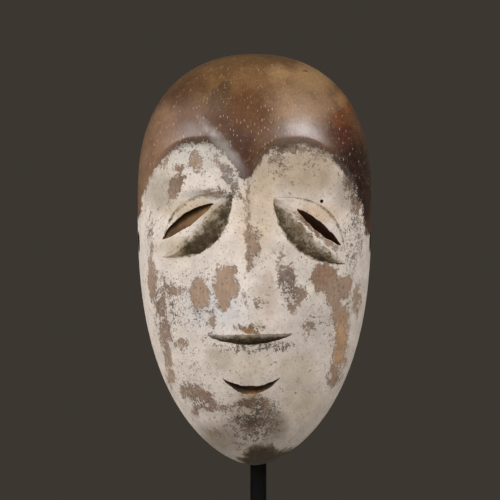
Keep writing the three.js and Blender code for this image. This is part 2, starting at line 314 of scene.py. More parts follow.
# %% [markdown]
# ## The block
# The block is a cube whose edges are split into even cells, rounded into a ball, and halved. The half ball
# is then drawn out to the egg: each point's direction says where on the outline it heads, and its distance
# from the middle says how far it goes. A ball made from a cube has no pole, so the cells stay even over
# the whole face. The flat back is extruded by the height of the rim's band.

# %% Half a ball, drawn out to the egg
outline_steps = 4000
band_steps = 4
near_plane = 1e-4
mask_cells = (132, 124, 224)
knife_depth = 0.16


def outline_place(egg, turn):
    """A point of the egg's outline. The turn starts at the crown and runs down the viewer's left."""
    above = np.cos(turn) > 0
    reach, along, across = egg_curve(egg, above)
    z = widest_height + np.where(above, reach, -reach) * np.abs(np.cos(turn)) ** (2 / along)
    x = egg["half"] * np.abs(np.sin(turn)) ** (2 / across)
    return np.where(np.sin(turn) > 0, -x, x), z


def even_outline(egg, share):
    """Points of the outline by share of its length, from the carving's midline at the crown."""
    turns = np.linspace(0, 2 * math.pi, outline_steps)
    x, z = outline_place(egg, turns)
    length = np.concatenate([[0], np.cumsum(np.hypot(np.diff(x), np.diff(z)))])
    offset = -midline_x / length[-1]
    left = lerp(offset, 0.5 - offset, share * 2)
    right = lerp(0.5 - offset, 1 + offset, share * 2 - 1)
    place = np.where(share < 0.5, left, right) % 1
    return outline_place(egg, np.interp(place * length[-1], length, turns))


def make_dome(name, egg, cells, depth_at, back, band):
    """A closed dome over the egg with a flat back. cells are its faces across, deep and up. The ball
    that it starts from has a radius of one metre, far above the distance at which bisect merges points.
    The back is its only face with more than four corners."""
    deselect_all()
    bpy.ops.mesh.primitive_cube_add(size=2)
    dome = bpy.context.object
    dome.name = name
    for axis, count in enumerate(cells):
        split_edges(dome, axis, count)
    ball = np.tan(points_of(dome) * MM * math.pi / 4)
    ball /= np.linalg.norm(ball, axis=1, keepdims=True)
    move_points(dome, ball / MM)
    select_only(dome, "FACE")
    bpy.ops.mesh.bisect(plane_co=(0, 0, 0), plane_no=(0, 1, 0), use_fill=True, clear_outer=True)
    bpy.ops.object.mode_set(mode="OBJECT")
    across, deep, up = points_of(dome).T * MM
    out = np.hypot(across, up)
    edge_x, edge_z = even_outline(egg, np.arctan2(-across, up) / (2 * math.pi) % 1)
    x = lerp(midline_x, edge_x, out)
    z = lerp(fan_height, edge_z, out)
    move_points(dome, on_stand(x, z, np.where(deep > -near_plane, back, depth_at(x, z))))
    corners = np.empty(len(dome.data.polygons), int)
    dome.data.polygons.foreach_get("loop_total", corners)
    select_only(dome, "FACE", corners > 4)
    for _ in range(band_steps):
        step = (0, band / band_steps * MM, 0)
        bpy.ops.mesh.extrude_region_move(TRANSFORM_OT_translate={"value": step})
    bpy.ops.object.mode_set(mode="OBJECT")
    outward(dome)
    return dome


def on_front(x, z):
    """Places for noise that stays the same all the way in."""
    return np.column_stack([x, np.zeros(len(x)), z])


def carved_front(x, z):
    """The front with the slight waviness of knife work. It only takes wood away."""
    flat = on_front(x, z)
    wavy = knife_depth * (0.75 * clouds(flat, 9, 3) + 0.25 * clouds(flat, 3.2, 5) - 0.6)
    return front_depth(x, z) + wavy


mask = make_dome("mask_carved", outside_egg, mask_cells, carved_front, rim_band, rim_band)
print("block of", len(mask.data.polygons), "faces")

# %% [markdown]
# ## Leaf-shaped cuts
# Eyes, slits, the notch under the nose and the mouth all have the plan of a leaf: two bowed edges between
# two points. Each is cut by a grid of that plan, extruded into layers. Each layer is moved to its own depth
# under the carved front, and may be wider than the one below it, which rolls the cut's edges over. A slit
# goes straight in at its lip, slants as far as its bend, and then goes straight back into the hollow.

# %% The leaves
left_socket = {
    "ends": ((-32.6, 75.6), (-8, 97.6)), "upper": 9.3, "lower": -8.6, "lid": (0.8, 0.42), "flush": (0.3, 0),
}
right_socket = {
    "ends": ((6.6, 96.2), (31.9, 73.2)), "upper": 9.8, "lower": -7.6, "lid": (0.42, 0.8), "flush": (0.7, 1),
}
left_slit = {"ends": ((-32.6, 81.9), (-14.6, 94.3)), "upper": 2.9, "lower": -1.5, "slant": 0.95}
right_slit = {"ends": ((15, 92.6), (30.3, 79.8)), "upper": 1.6, "lower": -1.5, "slant": -0.8}
nose_cut = {"ends": ((-16.2, 47.9), (13.3, 48.6)), "upper": 0.2, "lower": -3.3}
mouth_slit = {"ends": ((-11.4, 33.1), (8.7, 33.3)), "upper": -3.2, "lower": -6, "slant": 0.6}
leaf_power = 0.8
leaf_tip = 0.05
leaf_edge_depth = 0.3
flush_depth = -0.4
flush_across = (0.7, 0.1)
lid_depth = 1.3
crease_depth = 4.2
lid_bulge = 0.9
nose_cut_depth = 4
least_bow = 1e-4
least_bow_of_margin = 0.1


def leaf_axis(leaf):
    start, end = (np.array(point, float) for point in leaf["ends"])
    length = np.linalg.norm(end - start)
    return start, (end - start) / length, length


def leaf_bow(along):
    return np.sin(math.pi * np.clip(along, 0, 1)) ** leaf_power


def leaf_point(leaf, along, across, wider=0, shift=0):
    """x and z of a point of a leaf. across runs from 0 at its upper edge to 1 at its lower one."""
    start, direction, length = leaf_axis(leaf)
    tip = leaf_tip + wider
    offset = lerp(leaf["upper"], leaf["lower"], across) * leaf_bow(along) + lerp(tip, -tip, across) + shift
    run = along * length + lerp(-wider, wider, along)
    x = start[0] + direction[0] * run - direction[1] * offset
    z = start[1] + direction[1] * run + direction[0] * offset
    return x, z


def leaf_place(leaf, x, z):
    """The inverse: how far along and across a leaf a point is."""
    start, direction, length = leaf_axis(leaf)
    along = ((x - start[0]) * direction[0] + (z - start[1]) * direction[1]) / length
    offset = (z - start[1]) * direction[0] - (x - start[0]) * direction[1]
    bow = np.maximum(leaf_bow(along), least_bow)
    across = (leaf["upper"] * bow - offset) / ((leaf["upper"] - leaf["lower"]) * bow)
    return along, across


def socket_cut(socket, along, across):
    """An eye is nearly flush with the brow, and dives to a crease at the foot of the cheek's edge."""
    lid = lerp(socket["lid"][0], socket["lid"][1], along)
    on_lid = np.clip(across / lid, 0, 1)
    past_lid = np.clip((across - lid) / (1 - lid), 0, 1)
    floor = lid_depth * across**2 + crease_depth * np.sin(past_lid * math.pi / 2)
    flush = smoothstep(*socket["flush"], along) * smoothstep(*flush_across, across)
    edge = lerp(leaf_edge_depth, flush_depth, flush)
    return edge + leaf_bow(along) * (floor - lid_bulge * np.sin(on_lid * math.pi))


def nose_notch(along, across):
    return leaf_edge_depth + leaf_bow(along) * nose_cut_depth * across


def in_leaf(leaf, along, across, margin=0):
    """Whether a place is in a leaf, or within a margin in millimetres of it."""
    bow = np.maximum(leaf_bow(along), least_bow_of_margin)
    spare = margin / ((leaf["upper"] - leaf["lower"]) * bow)
    return (along > 0) & (along < 1) & (across > -spare) & (across < 1 + spare)


def carved_depth(x, z, margin=0):
    """The front with its eyes and the nose's notch cut, but without what goes through the wall."""
    depth = front_depth(x, z)
    for leaf in (left_socket, right_socket, nose_cut):
        along, across = leaf_place(leaf, x, z)
        inside = in_leaf(leaf, along, across, margin)
        along = np.clip(along, 0, 1)
        across = np.clip(across, 0, 1)
        cut = nose_notch(along, across) if leaf is nose_cut else socket_cut(leaf, along, across)
        depth = np.where(inside, depth - np.maximum(cut, 0), depth)
    return depth


# %% [markdown]
# ## Carving
# The hollow and every cut are taken away from the block with Boolean modifiers. Each cutting block is
# closed and a little too tall, so that it passes cleanly through the surface, and it is deleted after use.

# %% Cutting blocks
edge_wander = 0.32
cut_lift = 4
slit_lip = 1
slit_bend = 8
slit_reach = 22
slit_layers = (
    (-slit_reach, 0), (-slit_bend, 0), (-3, 0), (-1.4, 0),
    (-0.7, 0), (-0.3, 0.05), (0.05, 0.25), (cut_lift, 0.25),
)
notch_layers = ((0, 0), (cut_lift, 0))


def leaf_block(leaf, cells, layers, floor=None):
    """A block over a leaf. Each layer has a height over the carved front and an extra width."""
    deselect_all()
    bpy.ops.mesh.primitive_grid_add(x_subdivisions=cells[0], y_subdivisions=cells[1], size=1)
    block = bpy.context.object
    bpy.ops.object.mode_set(mode="EDIT")
    bpy.ops.mesh.select_all(action="SELECT")
    for _ in layers[1:]:
        bpy.ops.mesh.extrude_region_move(TRANSFORM_OT_translate={"value": (0, 0, 1)})
    bpy.ops.object.mode_set(mode="OBJECT")
    run, drop, level = points_of(block).T * MM
    height, wider = np.array(layers)[np.rint(level).astype(int)].T
    along = (1 + np.sin(math.pi * run)) / 2
    across = 0.5 - drop
    x, z = leaf_point(leaf, along, across, wider)
    if floor is None:
        depth = carved_depth(x, z) + height
        under = np.clip(-height, slit_lip, slit_bend) - slit_lip
        x, z = leaf_point(leaf, along, across, wider, under * leaf["slant"])
    else:
        depth = front_depth(x, z) + np.where(level < 0.5, -floor(along, across), height)
    flat = on_front(x, z)
    x = x + edge_wander * layered(flat, 50, (1, 2.4), (0.5, 0.9))
    z = z + edge_wander * layered(flat, 60, (1, 2.4), (0.5, 0.9))
    move_points(block, on_stand(x, z, depth))
    outward(block)
    return block


def carve(piece, cutter, operation="DIFFERENCE"):
    deselect_all()
    apply_modifier(piece, "BOOLEAN", object=cutter, operation=operation, solver="MANIFOLD")
    bpy.data.objects.remove(cutter)


# %% [markdown]
# ## The hollow
# A mask is hollowed from behind with a curved adze, which leaves shallow scallops side by side. The hollow
# is the same half ball, drawn out to a smaller egg. Each scallop is a bowl round its own middle, and the
# surface takes the deepest bowl at each place.

# %% Hollow with its tool marks
hollow_cells = (44, 44, 76)
hollow_past_rim = 2
gouge_spacing = 7.5
gouge_long = 1.6
gouge_depth = 0.9
gouge_steepness = 2.2
gouge_ridge = -0.5
gouge_scatter = 0.35
rng = np.random.default_rng(7)


def gouge_marks(x, z):
    """How deep the adze's scallops go into the hollow at x and z."""
    rows = np.arange(0, mask_height, gouge_spacing * gouge_long)
    columns = np.arange(-half_width, half_width, gouge_spacing)
    middles = np.array([(column, row) for row in rows for column in columns])
    cell = (gouge_spacing, gouge_spacing * gouge_long)
    middles += rng.uniform(-gouge_scatter, gouge_scatter, middles.shape) * cell
    across = (x[:, None] - middles[:, 0]) / cell[0]
    up = (z[:, None] - middles[:, 1]) / cell[1]
    nearest = (across**2 + up**2).min(axis=1)
    return gouge_depth * np.clip(1 - gouge_steepness * nearest, gouge_ridge, 1)


def hollow_depth(x, z):
    return dome_depth(hollow_egg, x, z) + gouge_marks(x, z)


carve(mask, make_dome("hollow", hollow_egg, hollow_cells, hollow_depth, 0, hollow_past_rim))
print("hollowed:", len(mask.data.polygons), "faces")

# %% [markdown]
# ## Eyes, nose and mouth
# The order is the carver's: first the broad eye sockets and the notch that frees the nose, then the slits
# that go right through.

# %% Cutting the face
socket_cells = (90, 40)
notch_cells = (60, 12)
slit_cells = (60, 3)
for socket in (left_socket, right_socket):
    carve(mask, leaf_block(
        socket, socket_cells, notch_layers, lambda along, across: socket_cut(socket, along, across)
    ))
carve(mask, leaf_block(nose_cut, notch_cells, notch_layers, nose_notch))
for slit in (left_slit, right_slit, mouth_slit):
    carve(mask, leaf_block(slit, slit_cells, slit_layers))
print("face cut:", len(mask.data.polygons), "faces")

# %% [markdown]
# ## Holes
# A cord through the two temples once held the mask. The holes were burnt through, a little taller than
# wide. A wood-boring insect left a small round hole above the right eye.

# %% Cord holes and an insect hole
cord_hole_height = 81
cord_hole_from_rim = 11
cord_hole_tall = 7.2
cord_hole_wide = 6
cord_drill_length = 28
insect_hole = {"x": 23.6, "z": 95.3, "radius": 0.62, "reach": 5}
round_sides = 48
sideways = (0, math.radians(90), 0)
forwards = (math.radians(90), 0, 0)
wood_angle = 38


def cylinder(place, radii, length, turn):
    """A cylinder in millimetres, oval if its two radii differ, turned by Euler angles."""
    deselect_all()
    bpy.ops.mesh.primitive_cylinder_add(vertices=round_sides, radius=1, depth=length * MM, rotation=turn)
    made = bpy.context.object
    made.scale = (radii[0] * MM, radii[1] * MM, 1)
    made.location = Vector(place) * MM
    bpy.ops.object.transform_apply()
    return made


def smooth_shading(piece, angle):
    """Shades a piece smooth, except where two faces meet at more than an angle in degrees."""
    deselect_all()
    piece.select_set(True)
    bpy.context.view_layer.objects.active = piece
    bpy.ops.object.shade_smooth_by_angle(angle=math.radians(angle))


for side in (-1, 1):
    place = on_stand(side * half_width, cord_hole_height, cord_hole_from_rim)
    carve(mask, cylinder(place, (cord_hole_tall / 2, cord_hole_wide / 2), cord_drill_length, sideways))
place = on_stand(insect_hole["x"], insect_hole["z"], carved_depth(insect_hole["x"], insect_hole["z"]))
carve(mask, cylinder(place, [insect_hole["radius"]] * 2, 2 * insect_hole["reach"], forwards))
smooth_shading(mask, wood_angle)
print("drilled:", len(mask.data.polygons), "faces")

# %% [markdown]
# ## Where each finish lies
# The face was whitened with kaolin, a white clay rubbed on wet, and handling has worn it off where the face
# stands proud or was touched. The broad places are listed as soft oval patches, and noise breaks up their
# outlines, first here and then more finely in the material. The results are attributes: one number or colour
# for each point of the mesh, which the material reads.

# %% Noise and patches


def hex_colour(code):
    """A linear colour from an sRGB hex code."""
    values = np.array([int(code[i:i + 2], 16) for i in (1, 3, 5)]) / 255
    return np.where(values <= 0.04045, values / 12.92, ((values + 0.055) / 1.055) ** 2.4)


def patch_distance(x, z, patch):
    """Millimetres inside an oval patch (x, z, half length, half height, turn), negative outside it."""
    turn = math.radians(patch[4]) if len(patch) > 4 else 0
    along = (x - patch[0]) * math.cos(turn) + (z - patch[1]) * math.sin(turn)
    up = (z - patch[1]) * math.cos(turn) - (x - patch[0]) * math.sin(turn)
    return (1 - np.hypot(along / patch[2], up / patch[3])) * min(patch[2], patch[3])


def patches(x, z, listed):
    return np.max([patch_distance(x, z, patch) for patch in listed], axis=0)


def soft_oval(x, z, zone, edge=(1.3, 0.4)):
    """1 inside an oval zone (x, z, half length, half height) and 0 outside it, with a soft edge."""
    return smoothstep(*edge, np.hypot((x - zone[0]) / zone[2], (z - zone[1]) / zone[3]))


def two_steps(first, second, value):
    """A rise in two steps of a half each."""
    return (smoothstep(*first, value) + smoothstep(*second, value)) / 2


points = points_of(mask)
x = points[:, 0] - middle_x
z = points[:, 2] - chin_z
depth = rim_y - points[:, 1]
warp_x = x + layered(points, 10, (1.4, 4.5), (0.9, 1.9))
warp_z = z + layered(points, 20, (1.4, 4.5), (0.9, 1.9))
print("points to paint:", len(points))

# %% [markdown]
# ## Worn kaolin
# The coat ends at the brow arches and low on the temples. It is gone in patches where it was touched, looks
# grey where it is thin, and is gritty where it crumbles. Each of the three has its own list of ovals, so one
# can be changed without the others.

# %% Where the kaolin is whole, rubbed thin or gone
kaolin_foot_left = 90
kaolin_foot_right = 83.6
nose_coat_top = 103
nose_coat_half = 8
bare_patches = [
    (-27.7, 101.2, 5, 2.4, 55), (-26.2, 106.3, 1.8, 1.8), (-31.7, 108.9, 2, 1.1, 45),
    (-0.4, 80.2, 1.9, 4.6), (-1.5, 73.9, 0.9, 1.8),
    (-19.3, 62.9, 3.7, 5.4), (-10.3, 66.1, 4.1, 6.4), (-10.5, 59.6, 2.2, 2.4), (-14.6, 53.3, 1, 2),
    (-36.5, 65.7, 1.5, 4.4), (-29.3, 64.1, 3, 1.2), (-33.2, 58.1, 1.2, 2.8), (-32, 48.9, 1.2, 4.6),
    (-31.1, 40.8, 1.1, 4.6), (-30, 32.7, 1.5, 3.2),
    (-18, 26.3, 4.8, 1.8, -35), (-23.2, 27.4, 2.2, 1.4), (-14, 22, 3, 0.8), (-21, 20.7, 1.4, 1.8),
    (-13.5, 12.5, 2.2, 0.9, -40),
    (16.1, 62.5, 1.6, 2.2), (13.8, 58.5, 1, 2),
    (24.3, 68.3, 4.6, 4.9), (28.5, 62.5, 4.2, 5.3), (32.2, 65.8, 2.4, 3.2), (30.5, 55.3, 2.8, 4),
    (31.2, 48.7, 2.4, 5.3), (30, 40.6, 2.2, 4), (28.7, 34.5, 1.5, 3), (27.2, 30.5, 1.5, 1.8),
    (36.2, 61.1, 1.5, 4.8),
    (-2.6, 24.4, 2.6, 1.7), (3.9, 23.8, 1.5, 2.2), (-2, 50.8, 3, 0.8),
    (-2.4, 27.8, 2.8, 0.6), (16.6, 88.6, 3.2, 1, -45), (21.8, 83.9, 3, 0.5, -42), (26.4, 80.6, 2.8, 1, -33),
    (-2, 15.8, 2.2, 2.2), (-0.8, 17.4, 3.4, 0.8),
]
grey_patches = [
    (-20.4, 108.7, 2.2, 3), (-9, 103.5, 7, 1.8, -55), (-13.5, 98.3, 4.5, 0.8, -3), (11.4, 67.6, 2.7, 4.6),
    (14, 113.6, 3, 1), (8.6, 114.4, 3, 1.6), (6.8, 110.1, 2.4, 1.2), (23, 111, 3, 1, -30),
    (-2.4, 97, 0.5, 6), (-2.4, 88, 0.3, 6), (34, 102.5, 1.6, 3.4, 40), (36.6, 93, 1.2, 4, 15),
    (1.1, 59.6, 0.7, 0.4), (-3.6, 61.9, 0.9, 2), (-36.6, 76, 0.6, 4.6),
    (-17, 47.6, 1.6, 0.5), (19, 51, 2, 1.5), (-26, 45, 1.6, 1), (9, 74, 1, 3),
]
gritty_zones = [
    (-2, 18, 11, 9, 0.6), (5, 18, 7, 7, 0.35), (1, 24, 8, 4, 0.4), (-2, 9, 9, 5, 0.5), (-32, 58, 6, 16, 0.6),
    (-20, 60, 11, 10, 0.35), (13, 64, 5, 8, 0.5), (27, 60, 10, 14, 0.35), (30, 38, 6, 12, 0.4),
    # the two strips at z 44, just under the nose's notch, are grey wear and partly painted shade of its
    # lower edge
    (-4, 44, 13, 2.2, 0.8), (8, 44.4, 8, 2.2, 0.6), (15, 113.6, 13, 2.4, 0.5), (-20, 113, 12, 3, 0.3),
    (35, 82, 4, 14, 0.6), (35, 101, 3, 7, 0.8), (-20, 26, 9, 6, 0.6), (-24, 36, 5, 10, 0.3),
    (-1, 51.6, 7, 2, 0.5), (-37, 86, 2.4, 14, 0.3), (1, 60, 4, 5, 0.12), (0, 79, 3.5, 9, 0.5),
    (-12, 98, 8, 3, 0.6), (20, 52, 9, 6, 0.12), (14, 30, 8, 6, 0.15), (20, 86.5, 6, 5, 0.5),
    (9, 107, 5, 4, 0.5), (19, 108, 4, 3, 0.6), (-17, 86, 5, 4, 0.3),
]
kaolin_whole = 2.1
kaolin_gone = -5
wear = {"grit": 1.35, "bare": 3.6, "grey": 2.6}
coat_edge = 0.5
foot = np.where(x < midline_x, kaolin_foot_left, kaolin_foot_right)
coat = np.maximum(inside_face(x, z), foot - z)
coat = np.maximum(coat, np.minimum(nose_coat_top - z, nose_coat_half - np.abs(x - midline_x)))
coat = coat + layered(points, 35, (0.9, 3), (0.5, 1.2))
bare = smoothstep(-1.7, 1.5, patches(warp_x, warp_z, bare_patches))
grey = smoothstep(-2, 1.2, patches(warp_x, warp_z, grey_patches))
grit = sum(zone[4] * soft_oval(warp_x, warp_z, zone) for zone in gritty_zones)
grit = grit * (1 + 0.6 * clouds(points, 2.2, 31)) + 0.25 * clouds(points, 7, 30)
grit = np.clip(grit + 0.4 * smoothstep(8, 1, depth), 0.04, 1.3)
kaolin = kaolin_whole - wear["grit"] * grit - wear["bare"] * bare - wear["grey"] * grey
kaolin = np.clip(np.minimum(kaolin, coat / coat_edge), kaolin_gone, kaolin_whole)
print("share of points with kaolin:", round(float((kaolin > 0).mean()), 2))

# %% [markdown]
# ## Dirt and painted shade
# Dirt gathers where a cloth doesn't reach, and the same places lie in shade: the crease of each eye socket,
# the notch under the nose and the underside of the chin. One attribute darkens them as dirt and as painted
# shade together. The formula that cuts a leaf also tells how far across it a point lies, so the darkening
# follows the cut. Points in the hollow are told apart here too, because they stay bare wood.

# %% How deep each point lies, and its dirt and painted shade
skin_depth = 0.6
cut_margin = 0.3
band_from = 0.93


def under_skin(x, z, depth):
    """Whether places are in the hollow, on the back edge or in a cut that goes through the wall."""
    below_cut = carved_depth(x, z, cut_margin) - depth
    edge = 1 - dome_depth(outside_egg, x, z) / forehead_depth
    on_band = (edge > band_from) & (depth < rim_band + 0.5)
    return (below_cut > skin_depth) & ~on_band | (depth < 0.02)


def in_cord_hole(x, z, depth):
    up = (z - cord_hole_height) / cord_hole_tall
    forward = (depth - cord_hole_from_rim) / cord_hole_wide
    return (np.hypot(up, forward) < 0.52) & (np.abs(x) > half_width / 2)


inside = under_skin(x, z, depth)
dirt_and_shade = np.zeros(len(x))
flaked = np.zeros(len(x))
thin_dirt_and_shade = smoothstep(-1.2, 0.6, patches(warp_x, warp_z, [(-11.7, 85.7, 2.2, 2.2), (-9, 95, 2.6, 2)]))
crackle_across = 0.56
# each eye socket, where along it the dirt and painted shade start, and where across they turn dusty and then
# dark; the dark part, in the crease at the foot of the cheek's edge, is partly painted shade
for leaf, starts, dusty, dark in (
    (left_socket, (0.02, 0.26), (0.44, 0.6), (0.6, 0.78)),
    (right_socket, (-0.06, 0.08), (0.54, 0.68), (0.68, 1.1)),
):
    along, across = leaf_place(leaf, x, z)
    ragged = across + layered(points, 40, (0.07, 2), (0.04, 1))
    slanted = along - 0.2 * (1 - across) + 0.05 * clouds(points, 2.5, 43)
    dirt_and_shade_amount = two_steps(dusty, dark, ragged) * smoothstep(*starts, slanted)
    rim_line = smoothstep(0.06, 0.01, np.abs(across - 0.02)) * (0.5 + 0.35 * clouds(points, 3, 42))
    dirt_and_shade_amount = np.maximum(dirt_and_shade_amount, rim_line * smoothstep(0.05, 0.3, along) * smoothstep(1, 0.8, along))
    dirt_and_shade_amount = dirt_and_shade_amount * smoothstep(1.06, 0.95, ragged + 0.04 * clouds(points, 1.3, 47))
    dirt_and_shade_amount = dirt_and_shade_amount * (0.9 + 0.22 * clouds(points, 2.5, 46)) * (1 - 0.35 * thin_dirt_and_shade)
    if leaf is right_socket:
        crackle = smoothstep(0.035, 0.012, np.abs(ragged - crackle_across))
        crackle = crackle * smoothstep(0.16, 0.26, along) * smoothstep(0.84, 0.76, along)
        flaked = np.where(in_leaf(leaf, along, across), crackle, 0)
    dirt_and_shade = np.where(in_leaf(leaf, along, across, 0.4), dirt_and_shade_amount * (1 - flaked), dirt_and_shade)
# Painted shade, over some grey dirt: the notch under the nose is darkened more the deeper it lies below the
# front
notch_shade_and_dirt = 0.26 + 0.5 * smoothstep(0.3, 2.6, front_depth(x, z) - depth)
dirt_and_shade = np.where(in_leaf(nose_cut, *leaf_place(nose_cut, x, z), 0.3), notch_shade_and_dirt, dirt_and_shade)
# The chin's tip is darkened, partly as a real olive stain and partly as painted shade where it turns under.
chin_stain_and_shade = patches(warp_x, warp_z, [(2.6, 2.2, 6.6, 5.2), (10, 3.2, 7, 1.8, 18)])
chin_stain_and_shade = two_steps((-2.4, -0.6), (-1.4, 1.2), chin_stain_and_shade + 0.5 * clouds(points, 2.2, 44))
# A band along the chin's lower outline is darkened as painted shade of its underside.
edge_radius = 1 - dome_depth(outside_egg, x, z) / forehead_depth
under_chin_shade = smoothstep(0.9, 0.99, edge_radius + 0.03 * clouds(points, 3, 45)) * smoothstep(34, 14, z)
dirt_and_shade = np.where(inside, 0, np.maximum(dirt_and_shade, np.maximum(chin_stain_and_shade, under_chin_shade)))
kaolin = np.where(inside, -3, lerp(kaolin, 2, flaked))
print("inside points:", int(inside.sum()))

# %% [markdown]
# ## Coated outside, bare inside
# The hollow and the walls of the cuts get a material of their own. Materials belong to faces, so the test
# that was made for the points is made again for the middle of each face.

# %% Which faces lie in the hollow and in the cuts
centres = np.empty(3 * len(mask.data.polygons))
mask.data.polygons.foreach_get("center", centres)
centres = centres.reshape(-1, 3) / MM
face_place = (centres[:, 0] - middle_x, centres[:, 2] - chin_z, rim_y - centres[:, 1])
raw_faces = under_skin(*face_place) | in_cord_hole(*face_place)
print("faces in the hollow and the cuts:", int(raw_faces.sum()))

# %% [markdown]
# ## Colours by place
# Old wood and old clay are never one colour. A base is laid down first, and soft oval zones of other colours
# go over it, as a painter lays glazes. Most are the wood's and the clay's own tones; a few are painted light
# and shade, each marked where it stands.

# %% Colours of the bare wood and of the kaolin
wood_base = "#5e3f26"
wood_zones = [
    ("#644626", -17, 137, 15, 8), ("#6c4d2f", 3, 141, 12, 7), ("#85664a", 17, 130, 15, 11),
    ("#5f4326", 0, 147, 32, 4), ("#96744e", 22, 141, 10, 7), ("#4f3119", -27, 133, 6, 5),
    ("#84634b", -38, 103, 8, 20), ("#805f46", -32, 120, 8, 11), ("#5e4130", -18, 121, 13, 8),
    ("#523014", -4, 126, 8, 10), ("#452618", -5, 111, 6, 12), ("#452815", -10, 118, 4, 7),
    ("#755a4c", 16, 118, 11, 6), ("#2b140b", 35, 110, 9, 10), ("#280f08", 38, 98, 7, 14),
    # the small orange zone at x 33.3, z 129.8 is a painted highlight, a glow of light on the forehead's
    # right edge
    ("#4b2111", 31, 119.5, 6, 6), ("#663716", 30.5, 124.6, 4, 4), ("#7c4622", 33.3, 129.8, 2.4, 3),
    ("#8f6944", 31, 132, 3, 4), ("#4d3520", -10.6, 136, 2.2, 3), ("#33281c", 17.8, 142.3, 1.8, 0.6),
    ("#4d3620", -13, 130, 4.5, 5), ("#55371c", -22, 138, 6, 5), ("#54310f", -1, 127, 8, 8),
    ("#4a2c17", -13, 122, 5, 6), ("#8a6a48", 9, 141, 5, 4),
]
bare_tone = "#9c836f"
bare_zones = [
    ("#7d6652", -26, 103, 7, 8), ("#7d6c63", 12, 66, 6, 7), ("#8d6f5a", 23, 70, 6, 5),
    ("#ae8b6a", 31, 44, 5, 12), ("#7a5f4d", -2, 24, 6, 4), ("#54443a", -2, 18, 6, 5),
    ("#8c6c46", -1.3, 50.6, 6, 2), ("#83735f", -2, 44, 14, 2.4), ("#8b7464", -32, 58, 6, 20),
    ("#8d7363", -18, 25, 8, 5), ("#d9ae7c", -2.4, 27.7, 4, 1.2), ("#8a6650", 21, 86, 7, 6),
    ("#867c74", -9, 103, 6, 6), ("#9c8874", 17, 112, 13, 3.4), ("#6f5846", 8.6, 114.3, 4, 3),
]
kaolin_tone = "#d9ccc1"
kaolin_zones = [
    ("#e4d8cd", -5, 62, 5, 11), ("#c9b8aa", 4.5, 63, 4, 10), ("#c0b8ae", -20, 112, 14, 7),
    ("#b2a596", -33, 99, 7, 10), ("#b3a08a", 18, 106, 17, 11), ("#c4b19a", 3, 100, 6, 12),
    ("#b4a598", 33, 98, 6, 8), ("#9f978e", -17, 97.6, 9, 2.4), ("#bcaa92", -22, 92, 12, 4.5),
    ("#c9b29b", 21, 91, 11, 4.5), ("#cdb9a4", 0, 88, 8, 14), ("#c6b6a2", -28, 79, 8, 4),
    ("#a08a75", 17, 86, 5, 4), ("#dccdbd", -2, 37, 9, 6), ("#c0b2a4", -12, 40, 6, 5),
    ("#d0c9c6", -14, 58, 14, 12), ("#c9bdb4", 20, 50, 10, 12), ("#c6b8a8", 15, 36, 8, 8),
    ("#c9baa9", 17, 24, 9, 8), ("#a39586", 7, 15.5, 6, 7), ("#b5a797", -2, 20, 8, 8),
    ("#a8998b", -12, 11, 10, 7),
]
inside_tone = "#6e5034"
inside_zones = [
    # the dark zone at x 23, z 86 is painted shade on the walls of the right slit
    ("#6a4d2c", -23, 88, 14, 10), ("#4d3219", -27.5, 84, 5, 4), ("#4a2a10", 23, 86, 13, 10),
    ("#7d6a58", 0, 30, 14, 6), ("#b08660", -0.6, 29.6, 3.4, 2.6),
]
worn_ground_colour = "#604e3e"
flaked_edge_colour = "#e8dccb"
shoulder_highlight_colour = "#9b938f"
pared_shoulder_highlight = (-10.6, 113.6, 9, 1.7, -51)


def lay_over(colours, code, share):
    return lerp(colours, hex_colour(code), share[:, None])


def tint(base, zones):
    """Colours for all points: a base with soft oval zones of other colours laid over it in turn."""
    colours = np.tile(hex_colour(base), (len(x), 1))
    for code, *zone in zones:
        colours = lay_over(colours, code, soft_oval(warp_x, warp_z, zone, (1.25, 0.35)))
    return colours


on_face = smoothstep(-0.5, 0.8, coat)
wood_colour = lerp(tint(wood_base, wood_zones), tint(bare_tone, bare_zones), on_face[:, None])
worn_ground = np.clip(1.2 * grit, 0, 1) * (1 - bare) * on_face
wood_colour = lay_over(wood_colour, worn_ground_colour, 0.8 * worn_ground)
# Painted highlight: a pale grey band along the pared bevel of the left brow stands for the lamp's shine on
# it.
shoulder = patch_distance(x, z, pared_shoulder_highlight) + 0.7 * clouds(points, 2.2, 77)
wood_colour = lay_over(wood_colour, shoulder_highlight_colour, 0.8 * smoothstep(-1.6, 1.2, shoulder))
wood_colour = np.where(inside[:, None], tint(inside_tone, inside_zones), wood_colour)
kaolin_colour = lay_over(tint(kaolin_tone, kaolin_zones), flaked_edge_colour, flaked)
print("colour zones:", len(wood_zones) + len(bare_zones) + len(kaolin_zones) + len(inside_zones))

# %% [markdown]
# ## Shine and pores
# The oiled forehead is glossy where it was rubbed most and duller near the clay. Its open pores show as pale
# flecks, most of them in a band across the forehead. Both are kept as attributes, like the colours.

# %% Where the oiled wood shines and shows its pores
best_polish = 0.85
dull_zones = [(-19, 122, 17, 11, 0.55), (-2.5, 126, 9, 9, 0.45)]
polish = np.where(inside, 0, 1 - on_face)
flecked = smoothstep(104, 112, z) * smoothstep(133, 122, z) + 0.4
flecks = polish * np.clip(flecked * (0.65 + 0.9 * clouds(points, 7, 70)), 0, 0.85) * smoothstep(9, 22, depth)
dusty = smoothstep(-2.6, -0.3, coat) * (0.5 + 0.5 * clouds(points, 3, 75))
polish = best_polish * polish * (1 - 0.7 * dusty)
for zone in dull_zones:
    polish = polish * (1 - zone[4] * soft_oval(x, z, zone))


